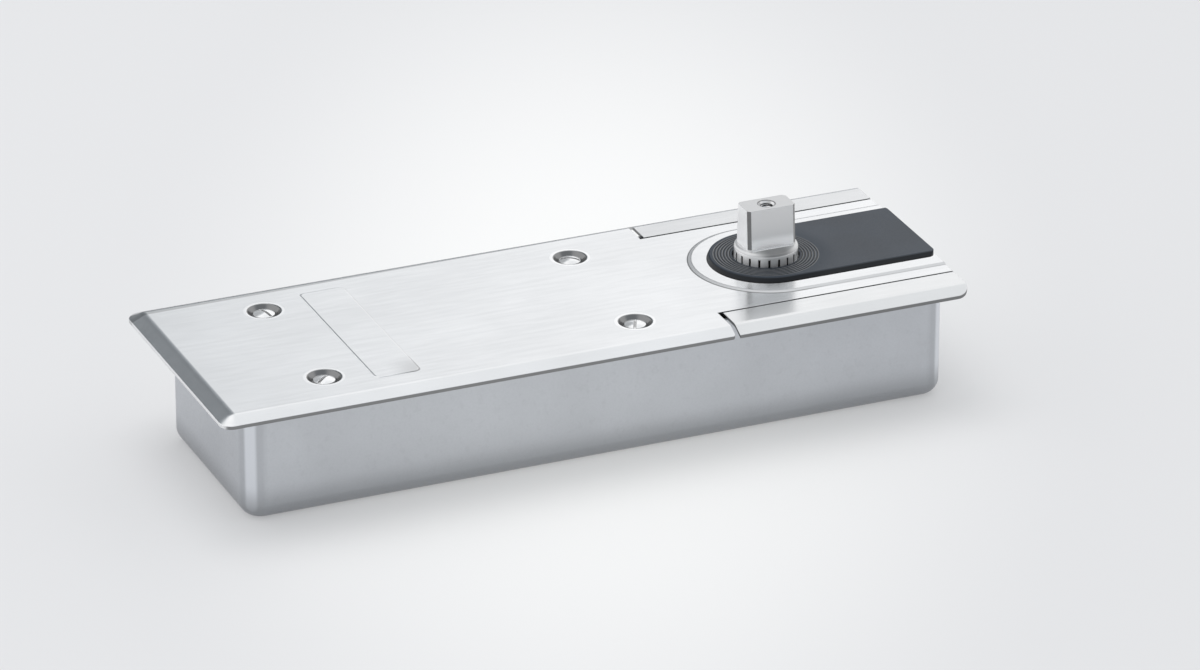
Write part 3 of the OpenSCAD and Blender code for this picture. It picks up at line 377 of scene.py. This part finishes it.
def paint_label(g, base, colour):
    """Painted shade and a painted dark rim line at the one corner of the bare label place that catches the
    light.
    """
    y = g.coordinate(Y)
    across = g.minus(g.coordinate(X), LABEL_X * MM)
    out_x = g.minus(g.absolute(across), (LABEL_HALF[0] - LABEL_CORNER) * MM)
    out_y = g.minus(g.absolute(y), (LABEL_HALF[1] - LABEL_CORNER) * MM)
    reach = g.length(g.math("MAXIMUM", out_x, 0.0), g.math("MAXIMUM", out_y, 0.0))
    near = g.times(g.ramp(y, *LABEL_NEAR_Y), g.ramp(across, *LABEL_NEAR_X))
    inside = g.ramp(reach, LABEL_CORNER * MM, (LABEL_CORNER - LABEL_SHADE) * MM)
    rim = g.ramp(g.absolute(g.minus(reach, (LABEL_CORNER - LABEL_RIM_IN) * MM)), *LABEL_RIM)
    base = g.mix(g.times(near, inside), base, shade(colour, 0.80))
    return g.mix(g.times(near, rim), base, shade(colour, 0.45))


def cover_paint(g, base, dull, colour):
    """The cover sheet's marks: dark cut edges, and painted shade and highlights on its flanks, far border,
    dimples, field and label. Its cut edges and the field's wall are also duller.
    """
    base, sheared = paint_flanks(g, base, colour)
    base = paint_dimples(g, base, colour)
    base, wall = paint_field(g, base, colour)
    base = paint_label(g, base, colour)
    dull = g.math("ADD", dull, g.times(sheared, 0.2))
    return base, g.math("ADD", dull, g.times(wall, 0.3))


def box_paint(g, base, dull, colour):
    """Painted highlight lines on the upright corners between flanks of painted shade, and painted shade
    along the foot.
    """
    turn = g.diagonal(g.normal())
    # painted shade on the corners' flanks, then a painted highlight along their line
    base = g.mix(g.ramp(turn, *CORNER_FLANK, 0.0, 0.5), base, shade(colour, 0.80))
    base = g.mix(g.ramp(turn, *CORNER_LINE), base, shade(colour, 1.35))
    # painted shade, darker towards the foot
    foot = g.ramp(g.coordinate(Z), *BOX_FOOT, 0.0, 0.7)
    return g.mix(foot, base, shade(colour, 0.62)), dull


def paint_block(g, base, colour, normal, height, block):
    """Painted light on the head's block: a painted highlight on its ends and foot, painted shade on its
    front and top.
    """
    base = g.mix(g.ramp(g.absolute(g.dot(normal, X)), *FACING), base, WHITE)
    base = g.mix(g.times(block, g.ramp(height, *BLOCK_FOOT)), base, WHITE)
    front = g.times(g.ramp(g.absolute(g.dot(normal, Y)), *FACING), g.ramp(height, *BLOCK_FRONT))
    base = g.mix(front, base, shade(colour, 0.89))
    return g.mix(g.ramp(g.dot(normal, Z), *LEVEL), base, shade(colour, 0.74))


def paint_collar(g, base, colour, normal, height):
    """Painted shade on the collar's rounded shoulder, less at its ends, in the middle of its side and, near
    black, in its notches.
    """
    shoulder = g.times(g.ramp(height, *SHOULDER), g.ramp(g.dot(normal, Z), *RISING))
    sideways = g.absolute(g.minus(g.coordinate(X), AXIS_X * MM))
    base = g.mix(shoulder, base, shade(colour, 0.30))
    base = g.mix(g.times(shoulder, g.ramp(sideways, *SHOULDER_ENDS)), base, shade(colour, 0.85))
    below = g.ramp(height, *BELOW)
    middle = g.times(below, g.ramp(sideways, *COLLAR_MIDDLE))
    base = g.mix(middle, base, shade(colour, 0.62))
    # painted shade in the notches
    notch = g.times(below, g.ramp(spindle_reach(g), *NOTCH_REACH))
    return g.mix(notch, base, (0.01, 0.01, 0.012, 1))


def head_paint(g, base, dull, colour):
    """The spindle head: its block, its collar, and painted shade in the threaded hole, on its mouth's line
    and on the chamfers.
    """
    normal, height = g.normal("True Normal"), g.coordinate(Z)
    block = g.ramp(height, *BLOCK_START)
    base = paint_block(g, base, colour, normal, height, block)
    base = paint_collar(g, base, colour, normal, height)
    reach = spindle_reach(g)
    # painted shade in the threaded hole
    hole = g.times(g.ramp(reach, *HOLE_REACH), g.ramp(height, *HOLE_HEIGHT))
    base = g.mix(hole, base, (0.02, 0.02, 0.02, 1))
    off = g.absolute(g.minus(reach, MOUTH_RADIUS * MM))
    mouth = g.times(g.ramp(height, *MOUTH_HEIGHT), g.ramp(off, *MOUTH_HALF))
    base = g.mix(mouth, base, shade(colour, 0.25))
    # painted shade on the block's chamfers
    chamfer = g.times(block, g.ramp(g.diagonal(normal), *CHAMFER))
    return g.mix(chamfer, base, shade(colour, 0.24)), dull


def insert_paint(g, base, colour):
    """Painted shade on the flanks, black at the foot, and in the grooves; a painted highlight on a lip
    outside each ring groove; and less gloss among the rings.
    """
    depth = g.minus(INSERT_TOP * MM, g.coordinate(Z))
    base = g.mix(g.ramp(depth, *FLANK_DEPTH), base, shade(colour, 0.25))
    base = g.mix(g.ramp(depth, *FOOT_DEPTH), base, BLACK)
    reach = spindle_reach(g)
    step = g.math("MODULO", g.minus(reach, (RING_FIRST - RING_PITCH / 2) * MM), RING_PITCH * MM)
    off = g.minus(step, RING_PITCH / 2 * MM)
    within = g.times(g.ramp(reach, *RINGS_INNER), g.ramp(reach, *RINGS_OUTER))
    lip = g.times(g.ramp(off, *LIP_INNER), g.ramp(off, *LIP_OUTER))
    groove = g.ramp(g.absolute(off), *GROOVE_HALF)
    base = g.mix(g.times(within, groove), base, BLACK)
    gloss = g.ramp(reach, *GLOSS_REACH, 0.30, 0.5)
    return g.mix(g.times(within, lip), base, (0.15, 0.155, 0.16, 1)), gloss


def plastic(name, colour, rough, grain=(2500, 0.15), edge=(0.0002, 1.6), paint=None):
    """Moulded plastic or rubber: faint clouds, fine grain, and edges lightened by wear and a painted
    highlight.
    """
    made, g, shader = new_material(name)
    scale, bump = grain
    radius, gain = edge
    fine = g.noise(scale, detail=3)
    tone = g.noise(40, detail=3)
    base = g.mix(g.ramp(tone, *CLOUDS), shade(colour, 0.88), shade(colour, 1.12))
    # painted highlight: sharp edges are lightened, partly as wear and partly as the light they catch
    wear_and_highlight, rounded = g.edge(radius)
    base = g.mix(wear_and_highlight, base, shade(colour, gain))
    if paint:
        base, gloss = paint(g, base, colour)
        g.put(shader.inputs["Specular IOR Level"], gloss)
    g.put(shader.inputs["Base Color"], base)
    g.put(shader.inputs["Roughness"], g.ramp(fine, *CLOUDS, rough - 0.05, rough + 0.05))
    g.put(shader.inputs["Normal"], g.relief(fine, bump, rounded))
    return made


def sheet_steel(name, colour):
    """Brushed stainless sheet of the cover and its strips."""
    return metal(name, colour, 0.23, swing=0.022, cloud=(20, 0.03),
                 grain=(420, (0.1, 1, 1), 0.003, 0.05), edge=(0.0004, 1.08),
                 streak=(70, (0.14, 1, 1), 0.03), crevice_shade=(0.0022, 0.33), paint=cover_paint)


materials = {
    "cover_steel": sheet_steel("cover_steel", (0.888, 0.893, 0.898)),
    "box_steel": metal("box_steel", (0.540, 0.557, 0.583), 0.36, cloud=(30, 0.03),
                       grain=(1100, (1, 1, 1), 0.04, 0.08), spot=(350, 0.10), paint=box_paint),
    "insert_black": plastic("insert_black", (0.020, 0.028, 0.040), 0.42,
                            edge=(0.00022, 2.4), paint=insert_paint),
    "bright_steel": metal("bright_steel", (0.80, 0.80, 0.80), 0.22,
                          grain=(900, (1, 1, 0.3), 0.03, 0.08)),
    "zinc_steel": metal("zinc_steel", (0.74, 0.75, 0.77), 0.28, spot=(500, 0.2)),
    "cast_body": metal("cast_body", (0.30, 0.33, 0.36), 0.55, swing=0.1,
                       grain=(600, (1, 1, 1), 0.4, 0.3)),
    "hard_steel": metal("hard_steel", (0.50, 0.50, 0.51), 0.25,
                        grain=(1500, (1, 1, 0.05), 0.06, 0.2)),
    "spring_steel": metal("spring_steel", (0.36, 0.36, 0.37), 0.35),
    "black_steel": metal("black_steel", (0.07, 0.07, 0.075), 0.45),
    "seal_rubber": plastic("seal_rubber", (0.02, 0.02, 0.02), 0.6),
    "bronze": metal("bronze", (0.66, 0.50, 0.24), 0.30),
}
# a node's own finish in place of its slot's
finishes = {
    "spindle_head": metal("head_steel", (0.82, 0.82, 0.82), 0.30, swing=0.02, cloud=(90, 0.02),
                          grain=(1500, (1, 1, 0.12), 0.01, 0.04), edge=(0.0004, 1.6),
                          crevice_shade=(0.0016, 0.10), metallic=0.6, paint=head_paint),
    "cover_screws": metal("screw_steel", (0.92, 0.92, 0.92), 0.16, crevice_shade=(0.0012, 0.12), metallic=0.7),
    # painted shade: the strips are the cover's sheet steel in darker copies, the rear one darkest
    "front_edge_strip": sheet_steel("front_strip_steel", (0.83, 0.835, 0.835)),
    "rear_edge_strip": sheet_steel("rear_strip_steel", (0.76, 0.765, 0.77)),
    # painted shade: the brackets are near black, as they lie in shade inside the gaps
    "strip_brackets": metal("bracket_steel", (0.12, 0.12, 0.13), 0.5),
}
thread_finish = metal("thread_steel", (0.75, 0.75, 0.76), 0.2)

for part in frame["record"]["subparts"]:
    mesh = nodes[part["node"]].data
    mesh.materials.clear()
    mesh.materials.append(finishes.get(part["node"], materials[part["material_slot"]]))


# Pieces the solids leave out

def new_piece(name, build, body, slot, smooth=True, finish=None):
    """One object of the built mesh, on its body and in its slot."""
    mesh = bpy.data.meshes.new(name)
    bmesh.ops.recalc_face_normals(build, faces=build.faces)
    build.to_mesh(mesh)
    build.free()
    piece = bpy.data.objects.new(name, mesh)
    scene.collection.objects.link(piece)
    for face in mesh.polygons:
        face.use_smooth = smooth
    mesh.materials.append(finish or materials[slot])
    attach(piece, body)
    return piece


def join_rings(build, rings, capped=True):
    """Faces between each ring of points and the next, and over both ends."""
    sides = len(rings[0])
    for low_ring, high_ring in zip(rings, rings[1:]):
        for j in range(sides):
            k = (j + 1) % sides
            build.faces.new((low_ring[j], low_ring[k], high_ring[k], high_ring[j]))
    if capped:
        build.faces.new(rings[0])
        build.faces.new(rings[-1])


def helix_ridge(name, place, radius, crest, half_foot, pitch, z_high, z_low, body, slot, finish=None):
    """A screw thread's ridge: one helical strip, triangular in section, that fades out over half a turn."""
    build = bmesh.new()
    steps = 36
    count = int((z_high - z_low) / pitch * steps)
    rings = []
    for i in range(count + 1):
        turn = 2 * math.pi * i / steps
        fade = min(1.0, i / steps * 2, (count - i) / steps * 2)
        z = z_high - pitch * i / steps
        foot, tip = half_foot * fade, radius + (crest - radius) * fade
        section = ((radius, foot), (tip, 0.0), (radius, -foot))
        rings.append([
            build.verts.new((
                (place[0] + r * math.cos(turn)) * MM, (place[1] + r * math.sin(turn)) * MM, (z + lift) * MM,
            ))
            for r, lift in section
        ])
    join_rings(build, rings, capped=False)
    bmesh.ops.remove_doubles(build, verts=build.verts, dist=SAME_POINT)
    return new_piece(name, build, body, slot, smooth=False, finish=finish)


def foot_fillets():
    """Small fillets where the two long flats of the head meet its collar."""
    build = bmesh.new()
    for side in (-1, 1):
        section = [(FLAT_Y - SINK_IN, COLLAR_TOP - SINK_DOWN), (FLAT_Y + FILLET, COLLAR_TOP - SINK_DOWN)]
        for i in range(FILLET_STEPS + 1):
            turn = math.radians(90 * i / FILLET_STEPS)
            section.append((
                FLAT_Y + FILLET * (1 - math.sin(turn)), COLLAR_TOP + FILLET * (1 - math.cos(turn)),
            ))
        section.append((FLAT_Y - SINK_IN, COLLAR_TOP + FILLET))
        ends = [
            [build.verts.new(((AXIS_X + x) * MM, side * y * MM, z * MM)) for y, z in section]
            for x in (-FLAT_HALF, FLAT_HALF)
        ]
        join_rings(build, ends)
    return new_piece("head_foot_fillets", build, "spindle", "bright_steel", smooth=False)


def spring_rise(t):
    """How far along the bore the wire has come after t turns; its end turns lie closer."""
    closed = CLOSED_TURNS * CLOSED_PITCH
    if t < CLOSED_TURNS:
        return t * CLOSED_PITCH
    if t > SPRING_TURNS - CLOSED_TURNS:
        return closed + OPEN_RISE + (t - SPRING_TURNS + CLOSED_TURNS) * CLOSED_PITCH
    return closed + (t - CLOSED_TURNS) / (SPRING_TURNS - 2 * CLOSED_TURNS) * OPEN_RISE


def wound_spring():
    """The closing spring as one round wire. It rides with the piston."""
    build = bmesh.new()
    rings = []
    for i in range(WIRE_STEPS * SPRING_TURNS + 1):
        turn = 2 * math.pi * i / WIRE_STEPS
        ring = []
        for j in range(WIRE_SIDES):
            around = 2 * math.pi * j / WIRE_SIDES
            out = SPRING_RADIUS + WIRE_RADIUS * math.cos(around)
            ring.append(build.verts.new((
                (SPRING_LOW + spring_rise(i / WIRE_STEPS) + WIRE_RADIUS * math.sin(around)) * MM,
                out * math.cos(turn) * MM, (BORE_HEIGHT + out * math.sin(turn)) * MM,
            )))
        rings.append(ring)
    join_rings(build, rings)
    piece = new_piece("closing_spring_wire", build, "piston_set", "spring_steel")
    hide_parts("closing_spring")
    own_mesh(piece)


def label_field():
    """The bare label place: a low raised field with sloping edges and round corners."""
    build = bmesh.new()
    rings = []
    for inset, z in LABEL_RINGS:
        ring = []
        for quarter, (sx, sy) in enumerate(((1, 1), (-1, 1), (-1, -1), (1, -1))):
            middle = sx * (LABEL_HALF[0] - LABEL_CORNER), sy * (LABEL_HALF[1] - LABEL_CORNER)
            for i in range(CORNER_STEPS + 1):
                turn = math.radians(90 * quarter + 90 * i / CORNER_STEPS)
                ring.append(build.verts.new((
                    (LABEL_X + middle[0] + (LABEL_CORNER - inset) * math.cos(turn)) * MM,
                    (middle[1] + (LABEL_CORNER - inset) * math.sin(turn)) * MM,
                    (COVER_TOP + z) * MM,
                )))
        rings.append(ring)
    join_rings(build, rings)
    return new_piece("label_field", build, "housing", "cover_steel", smooth=False)


# millimetres: the head's flats, the fillet at their foot, the collar's top and the cover's top
FLAT_Y, FLAT_HALF, FILLET, COLLAR_TOP, COVER_TOP = 6.65, 9.2, 0.7, 61.0, 52.9
# millimetres: how deep the fillets' backs lie in the block and in the collar
SINK_IN, SINK_DOWN = 0.15, 0.1
# millimetres: inset and height of the label's rings of points
LABEL_RINGS = ((0.0, -0.03), (0.0, 0.0), (0.6, 0.2))
# facets of a fillet and of a label's corner, and the distance in metres below which points are one
FILLET_STEPS, CORNER_STEPS, SAME_POINT = 6, 8, 1e-7
# the spring's turns, its facets, and the closed turns at each end
SPRING_TURNS, WIRE_STEPS, WIRE_SIDES, CLOSED_TURNS = 11, 32, 12, 0.75
# millimetres: the spring's middle line, wire, end pitch, and the bore's height
SPRING_RADIUS, WIRE_RADIUS, CLOSED_PITCH, BORE_HEIGHT = 12.8, 2.4, 5.3, 26.5
# millimetres along the bore: the seat, the wire's first and last middle, and the piston's face
SPRING_START, SPRING_LOW, SPRING_HIGH, SPRING_FACE = -112.4, -109.95, 26.5, 28.95
OPEN_RISE = SPRING_HIGH - SPRING_LOW - 2 * CLOSED_TURNS * CLOSED_PITCH

helix_ridge("head_thread", (AXIS_X, 0), radius=2.52, crest=2.08, half_foot=0.42, pitch=1.0,
            z_high=HEAD_TOP - 1.3, z_low=HEAD_TOP - 13.5, body="spindle", slot="bright_steel",
            finish=thread_finish)
foot_fillets()
wound_spring()
label_field()
# the photo's plate doesn't mirror the insert's dark side
nodes["spindle_cover"].visible_glossy = False


# Floor and light

# share of the floor's own tone that the camera sees whatever the shadow
SHADOW_LIFT = 0.38
# metres: the floor's half size, and how far the tone reaches across and along the view
FLOOR_HALF, TONE_ACROSS, TONE_ALONG = 6.0, 0.21, 0.52
# the floor's colour in the middle of the view, where it is painted lighter as a pool of light, far from it,
# and in its faint clouds
FLOOR_NEAR, FLOOR_FAR, FLOOR_CLOUD = (0.92, 0.92, 0.912, 1), (0.742, 0.744, 0.753, 1), (0.76, 0.76, 0.76, 1)


def make_floor():
    mesh = bpy.data.meshes.new("floor")
    build = bmesh.new()
    bmesh.ops.create_grid(build, x_segments=8, y_segments=8, size=FLOOR_HALF)
    build.to_mesh(mesh)
    build.free()
    floor = bpy.data.objects.new("floor", mesh)
    scene.collection.objects.link(floor)
    made, g, shader = new_material("floor")
    middle = floor_middle()
    moved = g.add("ShaderNodeVectorMath", {0: g.place(), 1: middle}, operation="SUBTRACT").outputs[0]
    aside = g.dot(moved, (math.cos(AZIMUTH) / TONE_ACROSS, math.sin(AZIMUTH) / TONE_ACROSS, 0))
    along = g.dot(moved, (-math.sin(AZIMUTH) / TONE_ALONG, math.cos(AZIMUTH) / TONE_ALONG, 0))
    far = g.length(aside, along)
    tone = g.noise(7, detail=2)
    # painted pool of light: the floor is lighter round the middle of the view
    base = g.mix(g.ramp(far, 0.1, 1.0), FLOOR_NEAR, FLOOR_FAR)
    base = g.mix(g.ramp(tone, *CLOUDS, 0.0, 0.02), base, FLOOR_CLOUD)
    light = g.add("ShaderNodeLightPath").outputs
    seen = g.math("MAXIMUM", light["Is Camera Ray"], light["Is Glossy Ray"])
    lifted = g.times(seen, SHADOW_LIFT)
    g.put(shader.inputs["Base Color"], g.mix(lifted, base, BLACK))
    g.put(shader.inputs["Emission Color"], base)
    g.put(shader.inputs["Emission Strength"], lifted)
    shader.inputs["Roughness"].default_value = 0.9
    shader.inputs["Specular IOR Level"].default_value = 0.0
    mesh.materials.append(made)


# light-tent gaps: direction, angle of the core, angle of the rim, share of light left in the core
GAPS = (
    ((-0.04, 0.82, 0.565), 12, 24.5, 0.20),
    ((0.10, -0.75, 0.65), 25, 50, 0.50),
    ((-0.80, -0.45, 0.35), 8, 20, 0.70),
    ((0.16, 0.98, 0.06), 8, 20, 0.22),
    ((0.36, 0.20, 0.91), 12, 26, 0.84),
)
# the light's colour in the gaps and outside them, and its strength
SKY_DIM, SKY_FULL, SKY_STRENGTH = (0.90, 1.0, 1.09, 1.0), (0.985, 0.99, 1.0, 1.0), 1.08


def make_world():
    world = bpy.data.worlds.new("studio")
    scene.world = world
    world.use_nodes = True
    g = Graph(world.node_tree)
    ground = world.node_tree.nodes["Background"]
    way = g.add("ShaderNodeTexCoord").outputs["Generated"]
    left = None
    for axis, core, rim, share in GAPS:
        cosine = g.dot(way, Vector(axis).normalized())
        kept = g.ramp(cosine, math.cos(math.radians(rim)), math.cos(math.radians(core)), 1.0, share)
        left = kept if left is None else g.times(left, kept)
    g.put(ground.inputs["Color"], g.mix(left, SKY_DIM, SKY_FULL))
    g.put(ground.inputs["Strength"], g.times(left, SKY_STRENGTH))


def make_lamp(name, place, aim, width, power):
    """A square area light that the metal doesn't mirror."""
    data = bpy.data.lights.new(name, "AREA")
    data.shape = "SQUARE"
    data.size = width
    data.energy = power
    lamp = bpy.data.objects.new(name, data)
    scene.collection.objects.link(lamp)
    lamp.location = place
    lamp.rotation_mode = "QUATERNION"
    lamp.rotation_quaternion = (Vector(place) - Vector(aim)).to_track_quat("Z", "Y")
    lamp.visible_glossy = False


make_floor()
make_world()
make_lamp("soft_top", place=(-0.2, 0.3, 1.8), aim=(0, 0, 0), width=1.2, power=11.0)
